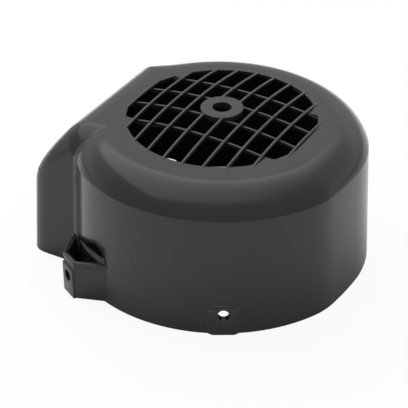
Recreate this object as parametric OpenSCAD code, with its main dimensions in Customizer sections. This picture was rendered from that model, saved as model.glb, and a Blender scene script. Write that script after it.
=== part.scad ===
// Cooling fan cover of a small air-cooled engine: a moulded plastic drum with a domed
// air grille in its top, and an air duct that bulges out of its left side.
// The origin is the centre of the hub hole, at the top face of the hub ring.
// +Z is the fan axis, +Y runs along the long grille bars, and the cover stands on its rim.

/* [Shell] */
// Radius of the front of the drum at the rim
rim_r = 90; // [86:0.5:94]
// Height from the rim to the top of the deck
shell_h = 84.7; // [78:0.1:92]
// Wall thickness
wall_t = 2.4; // [1.8:0.1:3]
// How far the drum wall leans in between the rim and the shoulder
wall_lean = 3.2; // [2:0.1:4]
// Radius of the rounded shoulder between deck and wall
shoulder_r = 20.7; // [19.5:0.1:22]
// Height of the rounded shoulder
shoulder_h = 13.5; // [12:0.1:15]

/* [Grille] */
// Radius of the air opening
opening_r = 54; // [52:0.5:55]
// Height of the hub ring's top face above the deck
crown_h = 5.8; // [4:0.1:7]
// Radius at which the domed grille meets the deck
crown_run = 57; // [56:0.5:57.5]
// Outer radius of the hub ring
hub_r = 12.2; // [11:0.1:13]
// Radius of the hole in the hub ring
hub_hole_r = 5.3; // [4:0.1:6]
// Thickness of the hub ring
hub_t = 3.6; // [3:0.1:4]
// Distance between the long bars
long_pitch = 11.53; // [11:0.01:11.8]
// Distance between the cross bars
cross_pitch = 17.87; // [17:0.01:18.5]
// Width of a bar
bar_w = 1.6; // [1.2:0.1:2]
// Depth of each of the two layers of bars
bar_t = 2; // [1.6:0.1:2.4]

/* [Air duct] */
// Distance of the duct's front face from the fan axis
duct_front = 63; // [62:0.1:63.5]
// Radius of the duct's rounded front edge
duct_edge_r = 9; // [8:0.5:12]
// Distance from the fan axis to where the duct roof starts to fall
roof_start = 60; // [59:0.1:61]
// Radius of the upper bend of the duct roof
roof_upper_r = 17; // [16:0.5:18]
// Radius of the nearly straight slope of the duct roof
roof_middle_r = 155; // [150:1:160]
// Radius of the lower bend of the duct roof
roof_lower_r = 29.5; // [28:0.5:31]
// Direction that the duct's slanted back wall faces
back_face_a = 127; // [125:1:129]
// Distance of the slanted back wall from the fan axis, at the rim
back_rim_d = 81.3; // [80.5:0.1:82]

/* [Fixings] */
// Radius of the screw clearance holes
screw_hole_r = 3.25; // [3:0.05:3.5]
// Height of the screw holes above the rim
screw_up = 13; // [12:0.1:14]
// Direction of the front screw from the fan axis
pad_a = -60.2; // [-64:0.1:-58]
// Width of the flat pad around the front screw
pad_w = 13.4; // [12:0.1:15]
// Direction of the side lug from the fan axis
lug_a = -118.5; // [-120:0.1:-116]
// Distance of the lug's outer face from the fan axis
lug_reach = 102; // [100:0.1:104]
// Height of the lug
lug_h = 22.4; // [20:0.1:24]

/* [Hidden] */
long_count = 10;
cross_count = 4;
ARC_NAMES = ["front", "front_corner", "side", "rear_corner", "back"];
WALL_NAMES = ["front_left", "front", "front_right", "front_corner", "side", "rear_corner", "back"];
TOP_NODES = [
    "deck", "hub_ring",
    "duct_roof_upper", "duct_roof_middle", "duct_roof_lower", "duct_outer_wall",
    "duct_edge_top", "duct_edge_upper", "duct_edge_middle", "duct_edge_lower", "duct_edge_corner",
    "duct_front_wall", "duct_back_shoulder", "duct_back_wall",
    "lug_walls", "lug_lip", "lug_floor", "lug_screw_pad", "front_screw_pad"
];
SHOULDER_NODES = [for (name = ARC_NAMES) str("shoulder_", name)];
WALL_NODES = [for (name = WALL_NAMES) str("wall_", name)];
LONG_NODES = [for (i = [1:long_count]) str("long_bar_", i)];
CROSS_NODES = [for (i = [1:cross_count]) str("cross_bar_", i)];

$fn = 96;
body_colour = [0.13, 0.13, 0.13];
far = 200;
// How far cutting shapes reach past the rim
past_rim = 5;

deck_z = -crown_h;
rim_z = -shell_h;
crown_sphere_r = (crown_run * crown_run + crown_h * crown_h) / (2 * crown_h);
shoulder_a = acos(1 - shoulder_h / shoulder_r);
shoulder_w = shoulder_r * sin(shoulder_a);
shoulder_in_w = sqrt(pow(shoulder_r - wall_t, 2) - pow(shoulder_r - shoulder_h, 2));
deck_inset = wall_lean + shoulder_w;

// The drum's plan outline is a chain of arcs that meet tangentially.
// Each has a radius at the rim and the directions in which it starts and ends.
arc_r = [rim_r, 43.5, 200, 73, 88];
arc_start = [-140, -25.4, -7.7, 0.4, 30.7];
arc_end = [-25.4, -7.7, 0.4, 30.7, 146];
last_arc = 4;
// The centre of arc i lies on the line from the centre of the arc before it to their joint
arc_centre = [for (i = 0, c = [0, 0]; i < len(arc_r);
    i = i + 1,
    c = i < len(arc_r) ? c + (arc_r[i - 1] - arc_r[i]) * heading(arc_start[i]) : c) c];

// The wall under the long front arc is in three pieces: one behind the lug, one for the front screw.
wall_arc = [0, 0, 0, 1, 2, 3, 4];
wall_start = [-140, -104, -76, -25.4, -7.7, 0.4, 30.7];
wall_end = [-104, -76, -25.4, -7.7, 0.4, 30.7, 146];
lug_wall = 0;
pad_wall = 2;
last_wall = 6;

// The slanted back wall leaves the drum at this distance along its face
back_start = 18.2;
back_end = 70;

// The air outlet's cut-out rises along the slanted wall, from low to high above the rim
outlet_start = back_start - 1;
outlet_end = 80;
outlet_low = 7;
outlet_high = 25;

// The duct roof is three bends that meet tangentially at these directions.
// Their centres are in x and z from the deck.
upper_end_a = 139.5;
middle_end_a = 148.4;
roof_end_a = 177.6;
roof_c1 = [-roof_start, -roof_upper_r];
roof_c2 = roof_c1 + (roof_upper_r - roof_middle_r) * heading(upper_end_a);
roof_c3 = roof_c2 + (roof_middle_r - roof_lower_r) * heading(middle_end_a);
duct_right = -20;
duct_back = 70;
wall_run = 50;

// The lug's outline in plan: u runs outwards from the fan axis, v along its face
pad_proud = 1.2;
pad_face = rim_r + 1.5;
pad_h = 18.6;
lug_face = lug_reach - pad_proud;
lug_half = 6;
lug_root_u = 86;
lug_root_v = 19.5;
lip_h = 2.4;
lip_proud = 0.9;
window_r = 9.3;
window_v = 8;
window_left = 18;
window_low = 0.8;
window_slope_a = 207;

// Distances from the fan axis where the screw drills start and end
wall_drill = [80, 95];
lug_drill = [90, 110];

function heading(a) = [cos(a), sin(a)];

// Corner points of the drum's outline, about 3 degrees apart, moved inwards by inset
function drum_outline(inset) = [
    for (i = [0:last_arc])
        let(sweep = arc_end[i] - arc_start[i], steps = ceil(sweep / 3))
            for (k = [0:steps])
                arc_centre[i] + (arc_r[i] - inset) * heading(arc_start[i] + sweep * k / steps)
];

module at_deck() translate([0, 0, deck_z]) children();

// Section of the shoulder as an open ring, for a deck edge at radius r
module shoulder_section(r) {
    translate([r, -shoulder_r])
        intersection() {
            difference() {
                circle(shoulder_r);
                circle(shoulder_r - wall_t);
            }
            translate([0, shoulder_r - shoulder_h]) square([shoulder_r, shoulder_h]);
        }
}

// Section of the wall below the shoulder, for a deck edge at radius r
module wall_section(r) {
    polygon([
        [r + shoulder_in_w, -shoulder_h],
        [r + shoulder_w, -shoulder_h],
        [r + deck_inset, rim_z],
        [r + deck_inset - wall_t, rim_z]
    ]);
}

// Section of everything inside the shell's outer skin moved in by t, without its rounded shoulder
module straight_section(r, t) {
    edge_in = t == 0 ? shoulder_w : shoulder_in_w;
    polygon([
        [r - far, rim_z - past_rim],
        [r + deck_inset - t, rim_z - past_rim],
        [r + deck_inset - t, rim_z],
        [r + edge_in, -shoulder_h],
        [r, -t],
        [r - far, -t]
    ]);
}

// The rounded shoulder that completes straight_section
module rounded_section(r, t) {
    translate([r, -shoulder_r])
        intersection() {
            circle(shoulder_r - t);
            translate([0, shoulder_r - shoulder_h]) square([shoulder_r, shoulder_h]);
        }
}

// Section of everything inside the shell's outer skin moved in by t
module solid_section(r, t) {
    straight_section(r, t);
    rounded_section(r, t);
}

// Turns a section about the centre of arc i, between two directions
module sector(i, from_a, to_a) {
    translate([arc_centre[i][0], arc_centre[i][1], 0])
        rotate([0, 0, from_a])
            rotate_extrude(angle = to_a - from_a) children();
}

// The space inside the front of the drum
module drum_space() {
    rotate_extrude() intersection() {
        solid_section(rim_r - deck_inset, wall_t);
        translate([0, -far]) square(far);
    }
}

// The outside of the lower part of the front wall as a plain cone that starts below the rim
module wall_cone() {
    slope = wall_lean / (shell_h - shoulder_h);
    up = 35;
    translate([0, 0, rim_z - past_rim])
        cylinder(r1 = rim_r + past_rim * slope, r2 = rim_r - up * slope, h = past_rim + up, $fn = 240);
}

// Everything behind the duct's front face, with its rounded top edge
module duct_front_prism() {
    start = duct_front - duct_edge_r;
    back = 90;
    translate([duct_right, 0, 0]) rotate([0, 0, -90]) rotate([90, 0, 0]) linear_extrude(80) {
        translate([-back, rim_z - past_rim]) square([back + start, shell_h + past_rim]);
        translate([-back, rim_z - past_rim]) square([back + duct_front, shell_h + past_rim - duct_edge_r]);
        translate([start, -duct_edge_r]) circle(duct_edge_r);
    }
}

// Sweeps a section along the slanted back wall, between two distances along its face
module along_back(from, to) {
    rotate([0, 0, back_face_a]) translate([0, to, 0]) rotate([90, 0, 0]) linear_extrude(to - from) children();
}

// Everything on the left of the plane where the slanted wall leaves the drum
module left_of_back_start() {
    rotate([0, 0, back_face_a]) translate([40, back_start, -far / 2 - 50]) cube([60, 60, far]);
}

// Profile of the duct in x and z, moved inwards by inset
module roof_profile(inset) {
    outer = 10;
    inner = 20;
    w = heading(roof_end_a);
    down = [-w[1], w[0]];
    wall_top = roof_c3 + (roof_lower_r - inset) * w;
    wall_len = (wall_top[1] - rim_z) / -down[1];
    translate(roof_c1) circle(roof_upper_r - inset);
    intersection() {
        translate(roof_c2) circle(roof_middle_r - inset);
        polygon([
            roof_c1 - inner * heading(upper_end_a),
            roof_c1 + (roof_upper_r + outer) * heading(upper_end_a),
            roof_c3 + (roof_lower_r + outer) * heading(middle_end_a),
            roof_c3 - inner * heading(middle_end_a)
        ]);
    }
    translate(roof_c3) circle(roof_lower_r - inset);
    polygon([roof_c1, roof_c3, wall_top, wall_top + wall_len * down, [-roof_start, rim_z]]);
    translate([-roof_start, rim_z]) square([roof_start + duct_right, shell_h - inset]);
}

// The duct's profile as a solid that runs from front to back
module duct_profile_solid() {
    translate([0, 90, 0]) rotate([90, 0, 0]) linear_extrude(180) roof_profile(0);
}

// Section of the duct's skin at radius r, behind the rounded front edge
module skin_section(r) {
    translate([r - wall_t, -duct_back]) square([wall_t, duct_back + duct_front - duct_edge_r]);
}

// Quarter ring of the duct's rounded front edge, where the skin's radius is r
module edge_section(r) {
    translate([r - duct_edge_r, duct_front - duct_edge_r]) intersection() {
        difference() {
            circle(duct_edge_r);
            circle(duct_edge_r - wall_t);
        }
        square(duct_edge_r);
    }
}

// The skin of a roof bend about c, from front to back
module roof_skin(c, r, from_a, to_a) {
    translate([0, duct_back, 0]) rotate([90, 0, 0]) linear_extrude(duct_back + duct_front - duct_edge_r)
        translate(c) intersection() {
            difference() {
                circle(r);
                circle(r - wall_t);
            }
            polygon([[0, 0], far * heading(from_a), far * heading((from_a + to_a) / 2), far * heading(to_a)]);
        }
}

// Turns a section about the centre c of a roof bend
module bend(c, from_a, to_a) {
    translate([c[0], 0, c[1]])
        rotate([90, 0, 0])
            rotate([0, 0, from_a])
                rotate_extrude(angle = to_a - from_a) children();
}

// Runs a section straight on for a length, where a bend about c would end at the angle a
module straight_run(c, a, length) {
    translate([c[0], 0, c[1]])
        rotate([90, 0, 0])
            rotate([0, 0, a])
                translate([0, length, 0]) rotate([90, 0, 0]) linear_extrude(length) children();
}

// The space on the inner side of the slanted back wall, its rounded shoulder cut as a row of flats
module inside_back() {
    r = back_rim_d - deck_inset;
    flats = 8;
    lowest_a = acos((shoulder_r - shoulder_h) / (shoulder_r - wall_t));
    along_back(-60, 140) polygon(concat(
        [[r - far, -wall_t], [r - far, rim_z - past_rim]],
        [[r + deck_inset - wall_t, rim_z - past_rim], [r + deck_inset - wall_t, rim_z]],
        [for (i = [flats:-1:0]) [r, -shoulder_r] + (shoulder_r - wall_t) * heading(90 - lowest_a * i / flats)]
    ));
}

// Puts lug parts in place: x outwards from the fan axis, y along the lug's face
module at_lug() rotate([0, 0, lug_a]) children();

// The lug's plan, moved outwards by grow
module lug_plan(grow = 0) {
    flare = grow * tan(22.5);
    root_v = lug_root_v + grow * sqrt(2);
    inner_u = lug_root_u - 6;
    polygon([
        [inner_u, root_v],
        [lug_root_u, root_v],
        [lug_face + grow, lug_half + flare],
        [lug_face + grow, -lug_half - flare],
        [lug_root_u, -root_v],
        [inner_u, -root_v]
    ]);
}

// The drum wall and the duct front, which the lug stands against
module lug_backing() {
    wall_cone();
    translate([-80, -duct_front, rim_z - past_rim]) cube([70, 50, 60]);
}

// Drill along a direction from the fan axis, at the height of the screws
module screw_drill(a, ends) {
    rotate([0, 0, a]) translate([ends[0], 0, rim_z + screw_up]) rotate([0, 90, 0])
        cylinder(r = screw_hole_r, h = ends[1] - ends[0]);
}

// The window in the drum wall, just above the lug: half-round, with a slope down towards the duct
module lug_window() {
    depth = wall_drill[1] - wall_drill[0];
    at_lug() translate([wall_drill[0], window_v, rim_z + lug_h + lip_h]) rotate([0, 90, 0])
        linear_extrude(depth) {
            intersection() {
                circle(window_r);
                translate([-2 * window_r, -window_r]) square(2 * window_r);
            }
            polygon([
                [0, 0],
                [0, -window_left],
                [-window_low, -window_left],
                window_r * heading(window_slope_a)
            ]);
        }
}

module opening_plan() {
    intersection() {
        circle(opening_r);
        square([9 * long_pitch + bar_w, 2 * opening_r], center = true);
        union() {
            square([7 * long_pitch, 2 * opening_r], center = true);
            square([2 * opening_r, 3 * cross_pitch], center = true);
        }
    }
}

module deck_plan() {
    back_edge = back_rim_d - deck_inset;
    face = heading(back_face_a);
    side = heading(back_face_a + 90);
    left_y = (back_edge + roof_start * face[0]) / face[1];
    polygon(drum_outline(deck_inset));
    polygon([
        [-roof_start, -duct_front + duct_edge_r],
        [duct_right, -duct_front + duct_edge_r],
        [duct_right, 30],
        back_edge * face + back_start * side,
        [-roof_start, left_y]
    ]);
}

module deck() {
    color(body_colour) at_deck() translate([0, 0, -wall_t]) linear_extrude(wall_t)
        difference() {
            deck_plan();
            opening_plan();
        }
}

module hub_ring() {
    color(body_colour) translate([0, 0, -hub_t]) difference() {
        cylinder(r = hub_r, h = hub_t);
        translate([0, 0, -1]) cylinder(r = hub_hole_r, h = hub_t + 2);
    }
}

module shoulder(i) {
    color(body_colour) at_deck() difference() {
        sector(i, arc_start[i], arc_end[i]) shoulder_section(arc_r[i] - deck_inset);
        if (i == 0) duct_front_prism();
        if (i == last_arc) left_of_back_start();
    }
}

module wall(w) {
    arc = wall_arc[w];
    color(body_colour) at_deck() difference() {
        sector(arc, wall_start[w], wall_end[w]) wall_section(arc_r[arc] - deck_inset);
        if (w == lug_wall) duct_front_prism();
        if (w == lug_wall) screw_drill(lug_a, wall_drill);
        if (w == lug_wall) lug_window();
        if (w == pad_wall) screw_drill(pad_a, wall_drill);
        if (w == last_wall) left_of_back_start();
    }
}

module duct_roof_upper() {
    color(body_colour) at_deck() intersection() {
        roof_skin(roof_c1, roof_upper_r, 90, upper_end_a);
        inside_back();
    }
}

module duct_roof_middle() {
    color(body_colour) at_deck() intersection() {
        roof_skin(roof_c2, roof_middle_r, upper_end_a, middle_end_a);
        inside_back();
    }
}

module duct_roof_lower() {
    color(body_colour) at_deck() intersection() {
        roof_skin(roof_c3, roof_lower_r, middle_end_a, roof_end_a);
        inside_back();
    }
}

module duct_outer_wall() {
    color(body_colour) at_deck() intersection() {
        straight_run(roof_c3, roof_end_a, wall_run) skin_section(roof_lower_r);
        inside_back();
        translate([-far, -far / 2, rim_z]) cube(far);
    }
}

module duct_edge_top() {
    color(body_colour) at_deck() difference() {
        straight_run([duct_right, -duct_edge_r], 90, roof_start + duct_right) edge_section(duct_edge_r);
        drum_space();
        translate([0, 0, -wall_t]) cylinder(r = rim_r - deck_inset, h = wall_t + 1);
    }
}

module duct_edge_upper() {
    color(body_colour) at_deck() bend(roof_c1, 90, upper_end_a) edge_section(roof_upper_r);
}

module duct_edge_middle() {
    color(body_colour) at_deck() bend(roof_c2, upper_end_a, middle_end_a) edge_section(roof_middle_r);
}

module duct_edge_lower() {
    color(body_colour) at_deck() bend(roof_c3, middle_end_a, roof_end_a) edge_section(roof_lower_r);
}

module duct_edge_corner() {
    color(body_colour) at_deck() intersection() {
        straight_run(roof_c3, roof_end_a, wall_run) edge_section(roof_lower_r);
        translate([-far, -far, rim_z]) cube(far);
    }
}

module duct_front_wall() {
    color(body_colour) at_deck() difference() {
        translate([0, -duct_front + wall_t, 0]) rotate([90, 0, 0]) linear_extrude(wall_t)
            roof_profile(duct_edge_r);
        drum_space();
    }
}

module duct_back_shoulder() {
    color(body_colour) at_deck() intersection() {
        along_back(back_start, back_end) shoulder_section(back_rim_d - deck_inset);
        duct_profile_solid();
    }
}

module duct_back_wall() {
    // The air leaves under a raised, sloping edge of the back wall
    color(body_colour) at_deck() difference() {
        intersection() {
            along_back(back_start, back_end) wall_section(back_rim_d - deck_inset);
            duct_profile_solid();
        }
        rotate([0, 0, back_face_a]) rotate([90, 0, 90]) translate([0, 0, 60]) linear_extrude(40)
            polygon([
                [outlet_start, rim_z - 1],
                [outlet_end, rim_z - 1],
                [outlet_end, rim_z + outlet_high],
                [outlet_start, rim_z + outlet_low]
            ]);
    }
}

module lug_walls() {
    color(body_colour) at_deck() difference() {
        at_lug() translate([0, 0, rim_z]) linear_extrude(lug_h) difference() {
            lug_plan();
            lug_plan(-wall_t);
        }
        lug_backing();
        screw_drill(lug_a, lug_drill);
    }
}

module lug_lip() {
    color(body_colour) at_deck() difference() {
        at_lug() translate([0, 0, rim_z + lug_h]) linear_extrude(lip_h) difference() {
            lug_plan(lip_proud);
            lug_plan(-wall_t);
        }
        lug_backing();
    }
}

module lug_floor() {
    color(body_colour) at_deck() difference() {
        at_lug() translate([0, 0, rim_z]) linear_extrude(wall_t) lug_plan(-wall_t);
        lug_backing();
    }
}

module lug_screw_pad() {
    color(body_colour) at_deck() difference() {
        at_lug() translate([lug_face, -lug_half, rim_z]) cube([pad_proud, 2 * lug_half, lug_h - 1.5]);
        screw_drill(lug_a, lug_drill);
    }
}

module front_screw_pad() {
    corner = 4;
    depth = 5;
    color(body_colour) at_deck() difference() {
        rotate([0, 0, pad_a]) translate([pad_face - depth, 0, rim_z]) rotate([90, 0, 90])
            linear_extrude(depth) {
                translate([-pad_w / 2, 0]) square([pad_w, pad_h - corner]);
                translate([corner - pad_w / 2, 0]) square([pad_w - 2 * corner, pad_h]);
                for (side = [-1, 1]) translate([side * (pad_w / 2 - corner), pad_h - corner]) circle(corner);
            }
        wall_cone();
        screw_drill(pad_a, wall_drill);
    }
}

// Keeps the layer of the dome that lies between two depths below its top
module dome_layer(top, bottom) {
    difference() {
        intersection() {
            children();
            translate([0, 0, -crown_sphere_r]) sphere(crown_sphere_r - top, $fn = 200);
        }
        translate([0, 0, -crown_sphere_r]) sphere(crown_sphere_r - bottom, $fn = 200);
        at_deck() translate([0, 0, -far]) difference() {
            cylinder(r = far, h = far);
            translate([0, 0, -1]) linear_extrude(far + 2) opening_plan();
        }
        translate([0, 0, -10]) cylinder(r = hub_r, h = 15);
    }
}

module long_bar(i) {
    x = (i - (long_count + 1) / 2) * long_pitch;
    color(body_colour) dome_layer(0, bar_t)
        translate([x - bar_w / 2, -far / 2, -20]) cube([bar_w, far, 25]);
}

module cross_bar(i) {
    y = (i - (cross_count + 1) / 2) * cross_pitch;
    color(body_colour) dome_layer(bar_t, 2 * bar_t)
        translate([-far / 2, y - bar_w / 2, -20]) cube([far, bar_w, 25]);
}

deck();
hub_ring();
duct_roof_upper();
duct_roof_middle();
duct_roof_lower();
duct_outer_wall();
duct_edge_top();
duct_edge_upper();
duct_edge_middle();
duct_edge_lower();
duct_edge_corner();
duct_front_wall();
duct_back_shoulder();
duct_back_wall();
lug_walls();
lug_lip();
lug_floor();
lug_screw_pad();
front_screw_pad();
for (i = [0:last_arc]) shoulder(i);
for (w = [0:last_wall]) wall(w);
for (i = [1:long_count]) long_bar(i);
for (i = [1:cross_count]) cross_bar(i);
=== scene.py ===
import math

import bmesh
import bpy
import numpy as np
from mathutils import Matrix, Vector


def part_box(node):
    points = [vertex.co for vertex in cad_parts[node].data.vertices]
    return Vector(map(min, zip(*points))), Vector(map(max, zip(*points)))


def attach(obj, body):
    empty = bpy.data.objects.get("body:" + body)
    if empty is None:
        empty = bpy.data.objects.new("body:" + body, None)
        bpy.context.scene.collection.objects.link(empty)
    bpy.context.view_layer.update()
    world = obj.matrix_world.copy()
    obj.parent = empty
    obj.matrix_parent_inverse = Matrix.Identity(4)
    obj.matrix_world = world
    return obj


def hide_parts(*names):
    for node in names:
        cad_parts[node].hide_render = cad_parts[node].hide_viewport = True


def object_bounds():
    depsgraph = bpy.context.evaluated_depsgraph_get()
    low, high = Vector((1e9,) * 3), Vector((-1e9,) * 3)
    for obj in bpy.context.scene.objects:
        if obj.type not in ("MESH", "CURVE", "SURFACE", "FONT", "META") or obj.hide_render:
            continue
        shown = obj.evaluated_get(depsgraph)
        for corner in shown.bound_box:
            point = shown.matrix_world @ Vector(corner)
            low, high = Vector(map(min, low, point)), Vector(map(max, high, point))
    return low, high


# The CAD model, and its box before anything is replaced.
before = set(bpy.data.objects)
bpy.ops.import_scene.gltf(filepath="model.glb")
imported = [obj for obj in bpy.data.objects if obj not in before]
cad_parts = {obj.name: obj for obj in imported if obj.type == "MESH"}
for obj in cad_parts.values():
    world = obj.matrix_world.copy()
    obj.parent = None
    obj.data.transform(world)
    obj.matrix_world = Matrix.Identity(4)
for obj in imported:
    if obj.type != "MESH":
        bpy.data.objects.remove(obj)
cad_low, cad_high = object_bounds()

# Lengths below are in millimetres, from the point on the fan axis at the height of the deck's top face.
MM = 0.001
DECK_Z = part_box("deck")[1].z
RIM = (cad_low.z - DECK_Z) / MM
HUB_TOP = (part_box("hub_ring")[1].z - DECK_Z) / MM

WALL_T = 2.4
WALL_LEAN = 3.2
SHOULDER_R = 20.7
SHOULDER_H = 13.5
SHOULDER_A = math.acos(1 - SHOULDER_H / SHOULDER_R)
DECK_INSET = WALL_LEAN + SHOULDER_R * math.sin(SHOULDER_A)

# The drum's outline is a chain of tangent arcs: radius at the rim, and direction in which each starts.
ARC_R = (90.0, 43.5, 200.0, 73.0, 88.0)
ARC_START = (-190.0, -25.4, -7.7, 0.4, 30.7)
# Past this direction the front arc turns in more tightly, to meet the duct.
LEFT_ARC_START = -115.0
LEFT_ARC_R = 64.0

# The duct's roof falls away to the left in three tangent bends, then goes straight down.
ROOF_START = 60.0
ROOF_R = (17.0, 155.0, 29.5)
ROOF_A = (90.0, 139.5, 148.4, 177.6)
FRONT_MID_Z = -31.0
FRONT_MID_Y = 61.1
FRONT_DRAFT = 0.0447
FRONT_UPPER_DRAFT = 0.062
BACK_DIRECTION = 127.0
BACK_RIM = 81.3
# The duct's front edge is rounder on its flat top than down its left side.
EDGE_TOP_R = 18.0
EDGE_LOW_R = 8.5
EDGE_TOP_X = -60.0
EDGE_LOW_X = -94.0
CREASE_STEP = 0.25
BACK_EDGE_R = 6.0
# The valley between the drum and the duct opens out over this depth.
VALLEY_R = 2.0
VALLEY_TOP_R = 0.9
VALLEY_DEPTH = 14.0

# The grille.
OPENING_R = 54.0
LONG_COUNT = 10
LONG_PITCH = 11.53
CROSS_COUNT = 4
CROSS_PITCH = 17.87
BAR_W = 1.6
BAR_T = 2.0
# Depths of the two layers of bars below the dome, top and bottom.
LONG_LAYER = (0.0, BAR_T)
CROSS_LAYER = (BAR_T - 0.2, 2 * BAR_T)
BAR_EDGE_R = 0.42
BAR_CHAMFER = 0.2
# How far a bar's ends run on into the deck and into the hub ring.
LONG_BAR_SINK = 0.1
CROSS_BAR_SINK = 0.6
HUB_SINK = 0.6
CROWN_RUN = 57.0
HUB_R = 12.2
HUB_HOLE_R = 5.3
HUB_T = 3.6
HUB_EDGE_R = 0.5
# The opening's outline is cut off at the outer long bars, and stepped at its four corners.
OPENING_HALF_X = ((LONG_COUNT - 1) * LONG_PITCH + BAR_W) / 2
OPENING_STEP_X = 3.5 * LONG_PITCH
OPENING_STEP_Y = 1.5 * CROSS_PITCH
# Rows round the opening's upper edge: distance outside the opening, and height.
OPENING_EDGE = ((0.0, -0.5), (0.12, -0.14), (0.45, 0.0), (0.9, 0.0))

# The two fixings.
SCREW_R = 3.25
SCREW_UP = 13.0
PAD_A = -60.2
LUG_A = -118.5
LUG_H = 22.4
LUG_LIP_H = 2.4
# The window above the lug: its sill's height, and the slope of its cut edge down to the outside.
WINDOW_SILL = 24.8
WINDOW_SLOPE = 0.55
WINDOW_WALL = 87.6


def unit(degrees):
    return np.array([math.cos(math.radians(degrees)), math.sin(math.radians(degrees))])


def arc_centres():
    centres = [np.zeros(2)]
    for i in range(1, len(ARC_R)):
        centres.append(centres[-1] + (ARC_R[i - 1] - ARC_R[i]) * unit(ARC_START[i]))
    return centres


ARC_C = arc_centres()
LEFT_ARC_C = (ARC_R[0] - LEFT_ARC_R) * unit(LEFT_ARC_START)


def roof_centres():
    centres = [np.array([-ROOF_START, -ROOF_R[0]])]
    for i in range(1, len(ROOF_R)):
        centres.append(centres[-1] + (ROOF_R[i - 1] - ROOF_R[i]) * unit(ROOF_A[i]))
    return centres


ROOF_C = roof_centres()


# ---- The shell's skin, as a field that is negative inside it. t moves the skin inwards. ----


def outline_gap(x, y):
    """Distance outside the drum's outline at the rim."""
    gap = np.hypot(x, y) - ARC_R[0]
    for i in range(1, len(ARC_R)):
        dx, dy = x - ARC_C[i][0], y - ARC_C[i][1]
        a = np.degrees(np.arctan2(dy, dx))
        end = ARC_START[i + 1] if i + 1 < len(ARC_R) else ARC_START[0] + 360
        gap = np.where((a >= ARC_START[i]) & (a < end), np.hypot(dx, dy) - ARC_R[i], gap)
    dx, dy = x - LEFT_ARC_C[0], y - LEFT_ARC_C[1]
    return np.where(np.degrees(np.arctan2(dy, dx)) < LEFT_ARC_START, np.hypot(dx, dy) - LEFT_ARC_R, gap)


def side_at(z, t):
    """How far outside the rim's outline the skin lies at height z, on the leaning wall or on the shoulder."""
    r = SHOULDER_R - t
    shoulder = -DECK_INSET + np.sqrt(np.maximum(r * r - (z + SHOULDER_R) ** 2, 0))
    wall = -WALL_LEAN * (z - RIM) / (-SHOULDER_H - RIM) - t
    return np.where(z > -SHOULDER_H, shoulder, wall)


def roof_gap(x, z):
    """Distance outside the duct's profile, seen from the front."""
    w = unit(ROOF_A[-1])
    gap = (x - ROOF_C[-1][0]) * w[0] + (z - ROOF_C[-1][1]) * w[1] - ROOF_R[-1]
    for i in reversed(range(len(ROOF_R))):
        dx, dz = x - ROOF_C[i][0], z - ROOF_C[i][1]
        a = np.degrees(np.arctan2(dz, dx)) % 360
        gap = np.where((a >= ROOF_A[i]) & (a < ROOF_A[i + 1]), np.hypot(dx, dz) - ROOF_R[i], gap)
    return np.where(x > -ROOF_START, z, gap)


def roof_reach(z):
    """How far left the duct's profile reaches at height z."""
    lowest = ROOF_C[-1][1] + ROOF_R[-1] * unit(ROOF_A[-1])[1]
    slope = math.tan(math.radians(180 - ROOF_A[-1]))
    reach = -ROOF_C[-1][0] - ROOF_R[-1] * unit(ROOF_A[-1])[0] + (lowest - z) * slope
    for i in reversed(range(len(ROOF_R))):
        bottom = ROOF_C[i][1] + ROOF_R[i] * unit(ROOF_A[i + 1])[1]
        bend = -ROOF_C[i][0] + np.sqrt(np.maximum(ROOF_R[i] ** 2 - (z - ROOF_C[i][1]) ** 2, 0))
        reach = np.where(z > bottom, bend, reach)
    return reach


def front_gap(y, z):
    below = FRONT_MID_Y + (FRONT_MID_Z - z) * FRONT_DRAFT
    above = FRONT_MID_Y - (z - FRONT_MID_Z) * FRONT_UPPER_DRAFT - CREASE_STEP
    return -y - np.where(z < FRONT_MID_Z, below, above)


def rounded_and(a, b, r):
    return np.minimum(-r, np.maximum(a, b)) + np.hypot(np.maximum(r + a, 0), np.maximum(r + b, 0))


def rounded_or(a, b, r):
    return np.maximum(r, np.minimum(a, b)) - np.hypot(np.maximum(r - a, 0), np.maximum(r - b, 0))


def skin_field(x, y, z, t):
    valley_r = VALLEY_TOP_R + (VALLEY_R - VALLEY_TOP_R) * np.clip(-z / VALLEY_DEPTH, 0, 1) + t
    drum = outline_gap(x, y) - side_at(z, t)
    drum = np.maximum(drum, -x - roof_reach(z) + valley_r + 0.2)
    back_u, back_s = unit(BACK_DIRECTION), unit(BACK_DIRECTION + 90)
    back = x * back_u[0] + y * back_u[1] - BACK_RIM - side_at(z, t)
    roof = roof_gap(x, z) + t
    back_r = np.clip(-z / SHOULDER_H, 0.02, 1) * (BACK_EDGE_R - t)
    share = np.clip((x - EDGE_LOW_X) / (EDGE_TOP_X - EDGE_LOW_X), 0, 1)
    edge_r = EDGE_LOW_R + (EDGE_TOP_R - EDGE_LOW_R) * share * share * (3 - 2 * share) - t
    duct = np.maximum(
        rounded_and(roof, front_gap(y, z) + t, edge_r),
        rounded_and(roof, back, back_r),
    )
    duct = np.maximum(duct, -(x * back_s[0] + y * back_s[1]))
    return rounded_or(drum, duct, valley_r)


def solve_contours(angles, heights, inset, t):
    """Radius from the fan axis, along each angle, at which the skin lies at each height."""
    a, z = np.meshgrid(angles, heights)
    grow = np.repeat(np.asarray(inset, float)[:, None], len(angles), axis=1)
    ca, sa = np.cos(a), np.sin(a)
    low, high = np.full(a.shape, 40.0), np.full(a.shape, 140.0)
    for _ in range(34):
        mid = (low + high) / 2
        outside = skin_field(mid * ca, mid * sa, z, t) + grow > 0
        high = np.where(outside, mid, high)
        low = np.where(outside, low, mid)
    return (low + high) / 2


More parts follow.
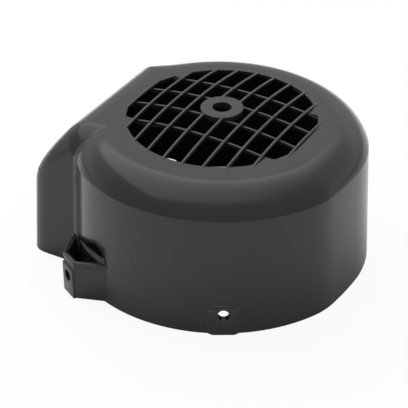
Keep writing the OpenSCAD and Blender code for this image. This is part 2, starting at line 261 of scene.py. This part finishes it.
def opening_corner_angles():
    """Directions of the corners in the air opening's outline."""
    quarter = [
        math.degrees(math.atan2(math.sqrt(OPENING_R**2 - OPENING_HALF_X**2), OPENING_HALF_X)),
        math.degrees(math.atan2(OPENING_STEP_Y, math.sqrt(OPENING_R**2 - OPENING_STEP_Y**2))),
        math.degrees(math.atan2(OPENING_STEP_Y, OPENING_STEP_X)),
        math.degrees(math.atan2(math.sqrt(OPENING_R**2 - OPENING_STEP_X**2), OPENING_STEP_X)),
    ]
    return sorted(a for q in quarter for a in (q, 180 - q, q - 180, -q))


def opening_radius(angles):
    c, s = np.abs(np.cos(angles)), np.abs(np.sin(angles))
    r = np.minimum(OPENING_R, OPENING_HALF_X / np.maximum(c, 1e-9))
    # A direction runs into a corner's step once it is past both of the step's sides.
    step = np.maximum(OPENING_STEP_X / np.maximum(c, 1e-9), OPENING_STEP_Y / np.maximum(s, 1e-9))
    return np.minimum(r, step)


def column_angles():
    """Directions of the shell's columns: even steps, closer together at the duct's corners and valleys."""
    parts = [
        (-180.0, -158.0, 1.0),
        (-158.0, -140.5, 0.4),
        (-140.5, -127.0, 0.2),
        (-127.0, 132.0, 1.0),
        (132.0, 170.0, 0.5),
        (170.0, 180.0, 1.0),
    ]
    angles = [a for lo, hi, step in parts for a in np.arange(lo, hi - 1e-6, step)]
    corners = opening_corner_angles()
    kept = [a for a in angles if all(abs(a - c) > 0.15 for c in corners)]
    return np.radians(sorted(kept + corners))


# ---- Making objects ----


def new_object(name, verts, faces, smooth_angle=30.0):
    """A mesh object from points in millimetres below the deck's top face."""
    mesh = bpy.data.meshes.new(name)
    v = np.asarray(verts, float) * MM
    v[:, 2] += DECK_Z
    mesh.from_pydata(v.tolist(), [], [tuple(int(i) for i in f) for f in faces])
    mesh.update()
    ob = bpy.data.objects.new(name, mesh)
    bpy.context.scene.collection.objects.link(ob)
    shade(ob, smooth_angle)
    return ob


def shade(ob, smooth_angle=30.0):
    bm = bmesh.new()
    bm.from_mesh(ob.data)
    bmesh.ops.recalc_face_normals(bm, faces=bm.faces)
    bm.to_mesh(ob.data)
    bm.free()
    ob.data.shade_smooth()
    ob.data.set_sharp_from_angle(angle=math.radians(smooth_angle))


def apply_modifiers(ob):
    dg = bpy.context.evaluated_depsgraph_get()
    mesh = bpy.data.meshes.new_from_object(ob.evaluated_get(dg))
    old = ob.data
    ob.modifiers.clear()
    ob.data = mesh
    bpy.data.meshes.remove(old)


def cut(ob, cutters):
    """Takes the cutters' space out of ob, and removes the cutters."""
    for c in cutters:
        m = ob.modifiers.new("cut", "BOOLEAN")
        m.operation = "DIFFERENCE"
        m.solver = "EXACT"
        m.object = c
    apply_modifiers(ob)
    for c in cutters:
        bpy.data.objects.remove(c)


def bevel(ob, width, segments=3, angle=30.0):
    m = ob.modifiers.new("edges", "BEVEL")
    m.width = width * MM
    m.segments = segments
    m.limit_method = "ANGLE"
    m.angle_limit = math.radians(angle)
    m.harden_normals = False
    apply_modifiers(ob)


def band(a, b, n):
    """Faces between two closed rows of n points, which start at points a and b."""
    return [(a + i, a + (i + 1) % n, b + (i + 1) % n, b + i) for i in range(n)]


def prism(name, outline, low, high, to_world, high_outline=None):
    """A closed prism: outline points (a, b), from low to high along c, placed by to_world(a, b, c)."""
    n = len(outline)
    verts = [to_world(a, b, low) for a, b in outline]
    verts += [to_world(a, b, high) for a, b in high_outline or outline]
    faces = [tuple(range(n - 1, -1, -1)), tuple(range(n, 2 * n)), *band(0, n, n)]
    return new_object(name, verts, faces)


def circle_outline(ca, cb, r, n=48, start=0.0, end=360.0):
    """Points round a circle, or along an arc with both its ends."""
    count = n if end - start >= 360 else n + 1
    directions = [unit(start + (end - start) * i / n) for i in range(count)]
    return [(ca + r * c, cb + r * s) for c, s in directions]


def radial_frame(degrees):
    """Maps (across, up, out) to millimetres, for a face that looks out from the fan axis in a direction."""
    d, side = unit(degrees), unit(degrees + 90)
    return lambda across, up, out: (out * d[0] + across * side[0], out * d[1] + across * side[1], RIM + up)


def plan_frame(degrees):
    """Maps (out, across, up) to millimetres."""
    place = radial_frame(degrees)
    return lambda out, across, up: place(across, up, out)


def screw_hole(direction, near, far):
    """The space of a radial screw hole."""
    return prism("hole", circle_outline(0, SCREW_UP, SCREW_R), near, far, radial_frame(direction))


def drum_space(r):
    """The round space inside the drum, up past the lug."""
    return prism("drum", circle_outline(0, 0, r, 180), -5, 60, lambda a, b, c: (a, b, RIM + c))


# ---- The pieces ----


def shell_rows():
    """Heights and insets of the shell's rows, outside from the deck to the rim and inside back up."""
    outer = [(-SHOULDER_R * (1 - math.cos(SHOULDER_A * i / 26)), 0.0) for i in range(26)]
    outer[0] = (-1e-5, 0.0)
    outer += [(-SHOULDER_H + 0.25, 0.0), (-SHOULDER_H, 0.0), (-SHOULDER_H - 0.35, 0.0)]
    outer += [(z, 0.0) for z in np.linspace(-SHOULDER_H - 1.5, FRONT_MID_Z + 0.9, 12)]
    outer += [(FRONT_MID_Z + 0.12, 0.0), (FRONT_MID_Z - 0.03, 0.0)]
    outer += [(z, 0.0) for z in np.linspace(FRONT_MID_Z - 0.5, RIM + 1.2, 36)]
    # the rim's outer edge, and its inner edge
    outer += [(RIM + 0.4, 0.0), (RIM + 0.12, 0.1), (RIM, 0.4)]
    inner = [(RIM, -0.3), (RIM + 0.12, -0.08), (RIM + 0.4, 0.0)]
    inner += [(z, 0.0) for z in np.linspace(RIM + 2, -SHOULDER_H - 1, 26)]
    r = SHOULDER_R - WALL_T
    lowest = math.acos((SHOULDER_R - SHOULDER_H) / r)
    inner += [(-SHOULDER_R + r * math.cos(lowest * i / 14), 0.0) for i in range(14, 0, -1)]
    inner += [(-WALL_T - 1e-5, 0.0)]
    return outer, inner


def make_shell():
    """Deck, shoulder, wall and duct as one closed skin, with its holes, window and air outlet cut."""
    angles = column_angles()
    outer, inner = shell_rows()
    ca, sa = np.cos(angles), np.sin(angles)

    def row(radius, z):
        return np.stack([radius * ca, radius * sa, np.full(len(angles), z)], 1)

    def halfway(a, b):
        return a + (b - a) * 0.5

    r_out = solve_contours(angles, [z for z, _ in outer], [i for _, i in outer], 0.0)
    r_in = solve_contours(angles, [z for z, _ in inner], [i for _, i in inner], WALL_T)
    r_open = opening_radius(angles)
    bottom = -WALL_T
    rows = [row(r_open + out, z) for out, z in OPENING_EDGE]
    rows += [row(halfway(r_open, r_out[0]), 0.0), row(r_out[0] - 0.5, 0.0)]
    rows += [row(r, z) for r, (z, _) in zip(r_out, outer)]
    rows += [row(r, z) for r, (z, _) in zip(r_in, inner)]
    rows += [row(r_in[-1] - 0.5, bottom), row(halfway(r_open, r_in[-1]), bottom)]
    rows += [row(r_open + 0.4, bottom), row(r_open, bottom + 0.3)]
    n, m = len(angles), len(rows)
    faces = [face for j in range(m) for face in band(j * n, (j + 1) % m * n, n)]
    shell = new_object("cover_shell", np.concatenate(rows), faces, 40)
    cutters = [
        screw_hole(PAD_A, 80, 95),
        screw_hole(LUG_A, 80, 97),
        prism("lug_window", window_outline(), 80, 95, window_frame()),
        prism("air_outlet", outlet_outline(), 60, 100, radial_frame(BACK_DIRECTION)),
    ]
    cut(shell, cutters)
    shade(shell, 40)
    return shell


def window_outline():
    """The window above the lug, seen from outside: half-round, with a slope down to the duct on the left."""
    arch = circle_outline(8.0, WINDOW_SILL, 9.3, 26, 0.0, 117.0)
    return [(-11.5, WINDOW_SILL), *arch, (-3.9, 28.4), (-9.0, 26.2), (-11.5, 25.6)]


def window_frame():
    place = radial_frame(LUG_A)
    return lambda across, up, out: place(across, up + (WINDOW_WALL - out) * WINDOW_SLOPE, out)


def outlet_outline():
    """The sloping edge under which the air leaves: distance along the back wall, height above the rim."""
    return [(17.2, -1.0), (85.0, -1.0), (85.0, 26.0), (22.0, 9.0), (18.6, 7.4), (17.2, 6.0)]


def make_front_pad():
    """The flat pad round the front screw, with round top corners and sloping sides. It leans inwards."""
    height, face, depth, slope, lean = 18.0, 91.9, 3.6, 1.5, 0.09
    wall = radial_frame(PAD_A)

    def outline(grow):
        half, top, corner = 6.2 + grow, height + 0.3 * grow, 3.5 + 0.5 * grow
        right = circle_outline(half - corner, top - corner, corner, 10, 0.0, 90.0)
        left = circle_outline(corner - half, top - corner, corner, 10, 90.0, 180.0)
        return [(-half, 0.0), (half, 0.0), *right, *left]

    def leaning(across, up, out):
        return wall(across, up, out - up * lean)

    pad = prism("screw_pad_front", outline(depth * slope), face - depth, face, leaning, outline(0))
    bevel(pad, 1.2, 5, 20)
    cut(pad, [screw_hole(PAD_A, 80, 95)])
    shade(pad, 35)
    return pad


def lug_outline(grow):
    """The lug from above: it narrows outwards to a flat face. grow moves its sides and its face outwards."""
    start_u, root_u, root_v, face_u, half = 84.0, 86.0, 19.5, 100.8, 6.0
    flare = grow * math.tan(math.radians(22.5))
    v = root_v + grow * math.sqrt(2)
    return [
        (start_u, -v),
        (root_u, -v),
        (face_u + grow, -half - flare),
        (face_u + grow, half + flare),
        (root_u, v),
        (start_u, v),
    ]


def make_lug():
    """The hollow box-shaped lug, its raised lip and the proud pad on its outer face."""
    place = plan_frame(LUG_A)
    body = prism("lug_body", lug_outline(0), 0, LUG_H, place)
    bevel(body, 0.7)
    hollow = prism("hollow", lug_outline(-WALL_T), WALL_T, LUG_H + 5, place)
    cut(body, [hollow, screw_hole(LUG_A, 90, 110), drum_space(88.6)])
    shade(body, 35)

    lip = prism("lug_lip_rim", lug_outline(0.5), LUG_H - 0.05, LUG_H + LUG_LIP_H, place)
    bevel(lip, 0.6)
    hollow = prism("hollow", lug_outline(-WALL_T + 0.3), LUG_H - 5, LUG_H + 8, place)
    cut(lip, [hollow, drum_space(88.4)])
    shade(lip, 35)

    back, face, half = 98.9, 102.0, 6.0
    side = [(back, 0.0), (face, 0.0), (face, 18.6), (face - 0.25, 19.6), (back, 21.4)]
    pad = prism("screw_pad_lug", side, -half, half, lambda out, up, across: place(out, across, up))
    bevel(pad, 0.5)
    cut(pad, [screw_hole(LUG_A, 90, 110)])
    shade(pad, 35)
    return body, lip, pad


def dome_height(r2):
    """Height of the grille's top above the deck, at a squared distance from the fan axis."""
    sphere = (CROWN_RUN**2 + HUB_TOP**2) / (2 * HUB_TOP)
    return HUB_TOP - sphere + np.sqrt(sphere * sphere - r2)


def bar_section(depth_top, low):
    """Points round a bar, across it and below the dome, with its upper edges rounded."""
    h, r, c = BAR_W / 2, BAR_EDGE_R, BAR_CHAMFER
    turns = [math.radians(a) for a in (90, 60, 30, 0)]
    left = [(-h + r * (1 - math.sin(a)), depth_top + r * (1 - math.cos(a))) for a in turns]
    right = [(-across, depth) for across, depth in reversed(left)]
    return [(-h, low - c), *left, *right, (h, low - c), (h - c, low), (-h + c, low)]


def bar_offsets(count, pitch):
    return [(i - (count - 1) / 2) * pitch for i in range(count)]


def make_bar(name, offset, along_y, reach):
    """One grille bar, curved over the dome. The hub ring interrupts it where it would cross the hole."""
    section = bar_section(*(LONG_LAYER if along_y else CROSS_LAYER))
    n = len(section)
    end = math.sqrt(max(reach**2 - offset**2, 1.0))
    spans = [(-end, end)]
    if abs(offset) < HUB_R - 1:
        gap = math.sqrt(HUB_R**2 - offset**2) - HUB_SINK
        spans = [(-end, -gap), (gap, end)]
    verts, faces = [], []
    for lo, hi in spans:
        count = max(6, int((hi - lo) / 1.5))
        base = len(verts)
        for j in range(count + 1):
            s = lo + (hi - lo) * j / count
            top = float(dome_height(offset * offset + s * s))
            for across, depth in section:
                p = offset + across
                verts.append((p, s, top - depth) if along_y else (s, p, top - depth))
        for j in range(count):
            faces += band(base + j * n, base + (j + 1) * n, n)
        last = base + count * n
        faces += [tuple(base + i for i in range(n)), tuple(last + i for i in range(n - 1, -1, -1))]
    return new_object(name, verts, faces, 50)


def make_hub():
    """The flat ring at the centre of the grille, turned from its section."""
    r, chamfer = HUB_EDGE_R, 0.2
    lo, hi = HUB_TOP - HUB_T, HUB_TOP
    section = [
        (HUB_HOLE_R, lo),
        (HUB_HOLE_R, hi - r),
        (HUB_HOLE_R + r * 0.3, hi - r * 0.3),
        (HUB_HOLE_R + r, hi),
        (HUB_HOLE_R + r + 0.3, hi),
        (HUB_R - r - 0.3, hi),
        (HUB_R - r, hi),
        (HUB_R - r * 0.3, hi - r * 0.3),
        (HUB_R, hi - r),
        (HUB_R, lo + chamfer),
        (HUB_R - chamfer, lo),
    ]
    n, turns = len(section), 96
    directions = [unit(360 * j / turns) for j in range(turns)]
    verts = [(p * c, p * s, z) for c, s in directions for p, z in section]
    faces = [face for j in range(turns) for face in band(j * n, (j + 1) % turns * n, n)]
    return new_object("hub_ring_moulding", verts, faces, 40)


# ---- Materials ----


def plug(tree, socket, value):
    """Links a socket to value, or sets it when value is a number, a vector or a colour."""
    if isinstance(value, bpy.types.NodeSocket):
        tree.links.new(value, socket)
    else:
        socket.default_value = value


def calc(tree, operation, *values):
    n = tree.nodes.new("ShaderNodeMath")
    n.operation = operation
    for socket, value in zip(n.inputs, values):
        plug(tree, socket, value)
    return n.outputs[0]


def vector_calc(tree, operation, vector, other):
    n = tree.nodes.new("ShaderNodeVectorMath")
    n.operation = operation
    plug(tree, n.inputs[0], vector)
    plug(tree, n.inputs[1], other)
    return n.outputs["Value"]


def spread(tree, value, from_min, from_max, to_min=0.0, to_max=1.0):
    """Maps a range of values to another, and holds it at both ends."""
    n = tree.nodes.new("ShaderNodeMapRange")
    n.inputs["From Min"].default_value = from_min
    n.inputs["From Max"].default_value = from_max
    n.inputs["To Min"].default_value = to_min
    n.inputs["To Max"].default_value = to_max
    tree.links.new(value, n.inputs["Value"])
    return n.outputs["Result"]


def mix_colour(tree, factor, a, b):
    n = tree.nodes.new("ShaderNodeMix")
    n.data_type = "RGBA"
    plug(tree, n.inputs["Factor"], factor)
    plug(tree, n.inputs["A"], a)
    plug(tree, n.inputs["B"], b)
    return n.outputs["Result"]


def noise(tree, vector, scale, detail, roughness):
    n = tree.nodes.new("ShaderNodeTexNoise")
    n.inputs["Scale"].default_value = scale
    n.inputs["Detail"].default_value = detail
    n.inputs["Roughness"].default_value = roughness
    tree.links.new(vector, n.inputs["Vector"])
    return n.outputs["Fac"]


def grey(level):
    return (level, level, level, 1)


def moulded_plastic(name, tint, rough_low, rough_high, grain):
    """Black moulded plastic: fine grain, faint flow marks, slightly uneven gloss, and a painted highlight on
    its edges, which are painted paler.
    """
    mat = bpy.data.materials.new(name)
    mat.use_nodes = True
    tree = mat.node_tree
    shader = tree.nodes["Principled BSDF"]
    shader.inputs["IOR"].default_value = 1.5
    place = tree.nodes.new("ShaderNodeTexCoord").outputs["Object"]
    cloud = noise(tree, place, 28.0, 4.0, 0.55)
    speck = noise(tree, place, 900.0, 2.0, 0.6)
    fine = noise(tree, place, 1700.0, 2.0, 0.5)

    def tinted(factor):
        return (*[c * factor for c in tint], 1)

    colour = mix_colour(tree, cloud, tinted(0.86), tinted(1.16))
    # Painted highlight: convex edges, found by pointiness, are painted paler.
    pointiness = tree.nodes.new("ShaderNodeNewGeometry").outputs["Pointiness"]
    edge = spread(tree, pointiness, 0.52, 0.62, 0.0, 0.35)
    plug(tree, shader.inputs["Base Color"], mix_colour(tree, edge, colour, tinted(2.2)))

    uneven = calc(tree, "MULTIPLY_ADD", speck, 0.3, calc(tree, "MULTIPLY", cloud, 0.7))
    plug(tree, shader.inputs["Roughness"], spread(tree, uneven, 0.3, 0.7, rough_low, rough_high))

    bump = tree.nodes.new("ShaderNodeBump")
    bump.inputs["Strength"].default_value = grain
    bump.inputs["Distance"].default_value = 0.0001
    plug(tree, bump.inputs["Height"], fine)
    plug(tree, shader.inputs["Normal"], bump.outputs["Normal"])
    return mat


def floor_material():
    """Pale floor that the camera sees as the white of the backdrop, with a painted shade where the cover
    hides it: there its colour is painted dark and its glow is left off.
    """
    mat = bpy.data.materials.new("pale_floor")
    mat.use_nodes = True
    tree = mat.node_tree
    shader = tree.nodes["Principled BSDF"]
    shader.inputs["Roughness"].default_value = 0.9
    shader.inputs["Specular IOR Level"].default_value = 0.1
    place = tree.nodes.new("ShaderNodeTexCoord").outputs["Object"]
    away = vector_calc(tree, "DISTANCE", place, (*INSIDE_CENTRE, cad_low.z))
    towards_back = vector_calc(tree, "DOT_PRODUCT", place, (*unit(BACK_DIRECTION), 0))
    # outside is 0 inside the cover's rim, where the floor carries the painted shade, and 1 beyond it.
    outside = calc(
        tree,
        "MAXIMUM",
        spread(tree, away, INSIDE_R, INSIDE_R + INSIDE_FADE),
        spread(tree, towards_back, INSIDE_BACK, INSIDE_BACK + INSIDE_FADE),
    )
    # Painted shade: under the cover the floor's colour is painted dark.
    plug(tree, shader.inputs["Base Color"], mix_colour(tree, outside, grey(FLOOR_PAINTED_SHADE), grey(FLOOR_PALE)))

    # The camera sees the glow only outside the painted shade.
    glow = tree.nodes.new("ShaderNodeEmission")
    camera_ray = tree.nodes.new("ShaderNodeLightPath").outputs["Is Camera Ray"]
    seen = calc(tree, "MULTIPLY", calc(tree, "MULTIPLY", camera_ray, FLOOR_GLOW), outside)
    mix = tree.nodes.new("ShaderNodeMixShader")
    for socket, value in zip(mix.inputs, (seen, shader.outputs[0], glow.outputs[0])):
        plug(tree, socket, value)
    plug(tree, tree.nodes["Material Output"].inputs["Surface"], mix.outputs[0])
    return mat


# ---- Building the cover ----

shell = make_shell()
pad = make_front_pad()
lug_body, lug_lip, lug_pad = make_lug()
hub = make_hub()
long_bars = [
    make_bar(f"grille_long_{i + 1}", offset, True, CROWN_RUN + LONG_BAR_SINK)
    for i, offset in enumerate(bar_offsets(LONG_COUNT, LONG_PITCH))
]
cross_bars = [
    make_bar(f"grille_cross_{i + 1}", offset, False, OPENING_R + CROSS_BAR_SINK)
    for i, offset in enumerate(bar_offsets(CROSS_COUNT, CROSS_PITCH))
]

BLACK = (0.019, 0.019, 0.0185)
shell_plastic = moulded_plastic("moulded_shell", BLACK, 0.13, 0.2, 0.05)
grille_plastic = moulded_plastic("moulded_grille", BLACK, 0.2, 0.3, 0.1)

stands_for = {
    shell: [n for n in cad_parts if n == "deck" or n.startswith(("shoulder_", "wall_", "duct_"))],
    pad: ["front_screw_pad"],
    lug_body: ["lug_walls", "lug_floor"],
    lug_lip: ["lug_lip"],
    lug_pad: ["lug_screw_pad"],
    hub: ["hub_ring"],
}
stands_for.update({b: [f"long_bar_{i + 1}"] for i, b in enumerate(long_bars)})
stands_for.update({b: [f"cross_bar_{i + 1}"] for i, b in enumerate(cross_bars)})
for piece, nodes in stands_for.items():
    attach(piece, "root")
    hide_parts(*nodes)
    in_grille = piece is hub or piece in long_bars or piece in cross_bars
    piece.data.materials.clear()
    piece.data.materials.append(grille_plastic if in_grille else shell_plastic)


# ---- Floor, light and camera, in metres and degrees ----

CAMERA_AZIMUTH = 28.8
CAMERA_ELEVATION = 30.2
CAMERA_DISTANCE = 0.8027
CAMERA_YAW, CAMERA_PITCH, CAMERA_ROLL = -0.70, 3.56, -0.34
CAMERA_LENS = 125.4
# The walls' brightness, by angle from the horizon in front of the cover, over the top, to the one behind it.
STUDIO_LEVELS = (
    (0, 0.4),
    (20, 0.44),
    (60, 0.5),
    (100, 0.56),
    (135, 0.7),
    (147, 0.78),
    (153, 0.9),
    (163, 0.72),
    (180, 0.5),
)
# The ceiling light: its brightness above the cover, how this grows to the right and to the front,
# and its edges' distances from above the cover, over its height.
CEILING_LEVEL = 1.2
CEILING_TO_RIGHT = -0.25
CEILING_TO_FRONT = -0.4
CEILING_LEFT, CEILING_LEFT_SOFT = -0.88, 0.1
CEILING_RIGHT, CEILING_RIGHT_SOFT = 0.45, 0.7
CEILING_FRONT, CEILING_FRONT_SOFT = 0.52, 0.2
CEILING_BACK, CEILING_BACK_SOFT = -1.42, 0.1


# The part of the floor that lies inside the cover's rim, and in front of its slanted back wall, which carries
# a painted shade.
INSIDE_CENTRE = (-0.015, 0.0)
INSIDE_R = 0.073
INSIDE_BACK = 0.0795
INSIDE_FADE = 0.003
FLOOR_PALE = 0.8
# Colour of the floor's painted shade.
FLOOR_PAINTED_SHADE = 0.03
# How much of the floor's white, as the camera sees it, is there whatever the light.
FLOOR_GLOW = 0.92
FLOOR_HALF = 3.0
FLOOR_GAP = 0.0001


def make_floor():
    mesh = bpy.data.meshes.new("floor")
    half = FLOOR_HALF
    z = cad_low.z - FLOOR_GAP
    corners = [(-half, -half, z), (half, -half, z), (half, half, z), (-half, half, z)]
    mesh.from_pydata(corners, [], [(0, 1, 2, 3)])
    ob = bpy.data.objects.new("floor", mesh)
    bpy.context.scene.collection.objects.link(ob)
    mesh.materials.append(floor_material())


def softbox(name, azimuth, elevation, distance, side, power):
    """A square light that looks at the middle of the cover, and that its plastic does not mirror."""
    light = bpy.data.lights.new(name, "AREA")
    light.shape = "SQUARE"
    light.size = side
    light.energy = power
    ob = bpy.data.objects.new(name, light)
    bpy.context.scene.collection.objects.link(ob)
    a, e = math.radians(azimuth), math.radians(elevation)
    back = Vector((math.sin(a) * math.cos(e), -math.cos(a) * math.cos(e), math.sin(e)))
    centre = Vector((0, 0, -0.045))
    ob.location = centre + back * distance
    ob.rotation_mode = "QUATERNION"
    ob.rotation_quaternion = back.to_track_quat("Z", "Y")
    ob.visible_glossy = False


def make_camera():
    """The camera stands 0.8 m away, 30 degrees up, and looks slightly down past the cover's middle."""
    azimuth, elevation = math.radians(CAMERA_AZIMUTH), math.radians(CAMERA_ELEVATION)
    yaw, pitch, roll = (math.radians(a) for a in (CAMERA_YAW, CAMERA_PITCH, CAMERA_ROLL))
    back = Vector((0, -math.cos(elevation), math.sin(elevation)))
    right = Vector((1, 0, 0))
    level = Matrix((right, back.cross(right), back))
    turn = Matrix.Rotation(roll, 3, "Z") @ Matrix.Rotation(pitch, 3, "X") @ Matrix.Rotation(yaw, 3, "Y")
    pose = Matrix.Rotation(azimuth, 3, "Z") @ (turn @ level).transposed()
    cam = bpy.data.objects.new("camera", bpy.data.cameras.new("camera"))
    bpy.context.scene.collection.objects.link(cam)
    cam.matrix_world = pose.to_4x4()
    cam.location = Matrix.Rotation(azimuth, 3, "Z") @ (back * CAMERA_DISTANCE) + Vector((0, 0, DECK_Z))
    cam.data.sensor_width = 36.0
    cam.data.lens = CAMERA_LENS
    cam.data.clip_end = 50.0
    bpy.context.scene.camera = cam


def make_world():
    """A studio whose walls are dimmer in front of the cover, with a large soft light in its ceiling."""
    world = bpy.data.worlds.new("studio")
    bpy.context.scene.world = world
    world.use_nodes = True
    tree = world.node_tree
    place = tree.nodes.new("ShaderNodeTexCoord").outputs["Generated"]
    parts = tree.nodes.new("ShaderNodeSeparateXYZ")
    plug(tree, parts.inputs[0], place)
    up = parts.outputs["Z"]
    a = math.radians(CAMERA_AZIMUTH)
    front = vector_calc(tree, "DOT_PRODUCT", place, (math.sin(a), -math.cos(a), 0))
    right = vector_calc(tree, "DOT_PRODUCT", place, (math.cos(a), math.sin(a), 0))
    height = calc(tree, "MAXIMUM", up, 0.001)
    across = calc(tree, "DIVIDE", right, height)
    forward = calc(tree, "DIVIDE", front, height)

    inside = spread(
        tree, across, CEILING_LEFT - CEILING_LEFT_SOFT / 2, CEILING_LEFT + CEILING_LEFT_SOFT / 2
    )
    for distance, outer, inner in (
        (across, CEILING_RIGHT + CEILING_RIGHT_SOFT / 2, CEILING_RIGHT - CEILING_RIGHT_SOFT / 2),
        (forward, CEILING_FRONT + CEILING_FRONT_SOFT / 2, CEILING_FRONT - CEILING_FRONT_SOFT / 2),
        (forward, CEILING_BACK - CEILING_BACK_SOFT / 2, CEILING_BACK + CEILING_BACK_SOFT / 2),
    ):
        inside = calc(tree, "MULTIPLY", inside, spread(tree, distance, outer, inner))

    ramp = tree.nodes.new("ShaderNodeValToRGB")
    stops = ramp.color_ramp.elements
    for _ in STUDIO_LEVELS[2:]:
        stops.new(1.0)
    for stop, (degrees, level) in zip(stops, STUDIO_LEVELS):
        stop.position = degrees / 180
        stop.color = grey(level)
    angle = calc(tree, "ARCTAN2", up, front)
    plug(tree, ramp.inputs["Fac"], calc(tree, "DIVIDE", angle, math.pi))

    sideways = calc(tree, "MULTIPLY_ADD", across, CEILING_TO_RIGHT, CEILING_LEVEL)
    ceiling = calc(tree, "ADD", sideways, calc(tree, "MULTIPLY", forward, CEILING_TO_FRONT))
    lit = mix_colour(tree, inside, ramp.outputs["Color"], ceiling)
    plug(tree, tree.nodes["Background"].inputs["Color"], lit)


make_floor()
make_world()
softbox("back_softbox", CAMERA_AZIMUTH - 155, 50, 0.9, 0.8, 5)
make_camera()
bpy.context.scene.view_settings.view_transform = "Standard"
